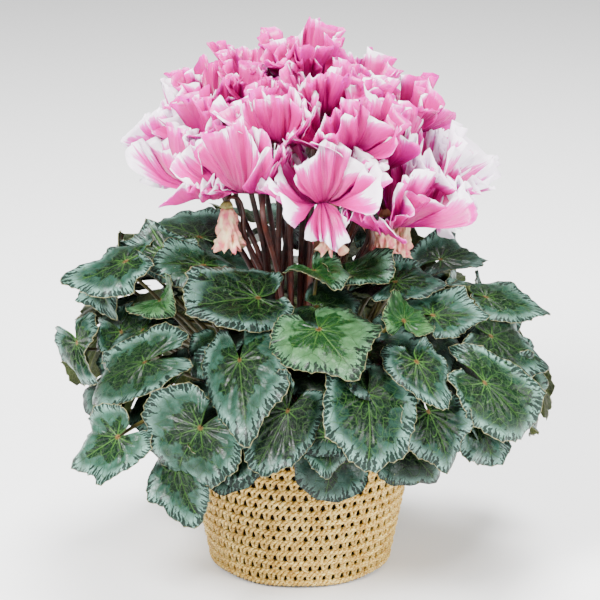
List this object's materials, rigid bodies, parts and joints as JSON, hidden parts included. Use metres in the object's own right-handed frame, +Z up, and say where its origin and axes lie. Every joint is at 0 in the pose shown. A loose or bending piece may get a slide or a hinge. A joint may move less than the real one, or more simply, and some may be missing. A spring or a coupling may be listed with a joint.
{
  "type": "potted cyclamen",
  "caption": "Cyclamen house plant with frilled pink blooms above marbled heart-shaped leaves, in a nursery pot standing inside a woven cover pot.",
  "frame": {"origin": "centre of the woven cover pot's underside, on the surface that it stands on", "axes": "+Z up through the corm and the flower head, -Y towards the viewer of the picture, +X to the right"},
  "size_m": [0.3666, 0.3716, 0.4212],
  "materials": {
    "woven_fibre": "dry twisted plant fibre, matt, straw coloured",
    "pot_plastic": "dull moulded plastic, terracotta brown",
    "soil": "crumbly dark potting soil",
    "corm": "dull corky brown skin",
    "leaf": "slightly waxy, dark green marbled with silver green, olive underneath",
    "flower_stalk": "smooth, fleshy, dark red brown",
    "petal": "soft satin, hot pink paling to a white frilled margin",
    "faded_petal": "dull, crumpled, cream and peach pink"
  },
  "bodies": {
    "root": {"bloom_01": "petal", "bloom_02": "petal", "bloom_03": "petal", "bloom_04": "petal", "bloom_05": "petal", "bloom_06": "petal", "bloom_07": "petal", "bloom_08": "petal", "bloom_09": "petal", "bloom_10": "petal", "bloom_11": "petal", "bloom_12": "petal", "bloom_13": "petal", "bloom_14": "petal", "bloom_15": "petal", "bloom_16": "petal", "bloom_17": "petal", "bloom_18": "petal", "bloom_19": "petal", "bloom_20": "petal", "bloom_21": "petal", "bloom_22": "petal", "bloom_23": "petal", "bloom_24": "petal", "bloom_25": "petal", "bloom_26": "petal", "bloom_27": "petal", "corm": "corm", "faded_bloom_1": "faded_petal", "faded_bloom_2": "faded_petal", "faded_bloom_3": "faded_petal", "faded_bloom_4": "faded_petal", "faded_bloom_5": "faded_petal", "flower_stalks_1": "flower_stalk", "flower_stalks_2": "flower_stalk", "flower_stalks_3": "flower_stalk", "flower_stalks_4": "flower_stalk", "flower_stalks_5": "flower_stalk", "flower_stalks_6": "flower_stalk", "flower_stalks_7": "flower_stalk", "leaf_spray_01": "leaf", "leaf_spray_02": "leaf", "leaf_spray_03": "leaf", "leaf_spray_04": "leaf", "leaf_spray_05": "leaf", "leaf_spray_06": "leaf", "leaf_spray_07": "leaf", "leaf_spray_08": "leaf", "leaf_spray_09": "leaf", "leaf_spray_10": "leaf", "leaf_spray_11": "leaf", "leaf_spray_12": "leaf", "leaf_spray_13": "leaf", "leaf_spray_14": "leaf", "leaf_spray_15": "leaf", "leaf_spray_16": "leaf", "nursery_pot": "pot_plastic", "potting_soil": "soil", "woven_cover_pot": "woven_fibre"}
  },
  "joints": []
}
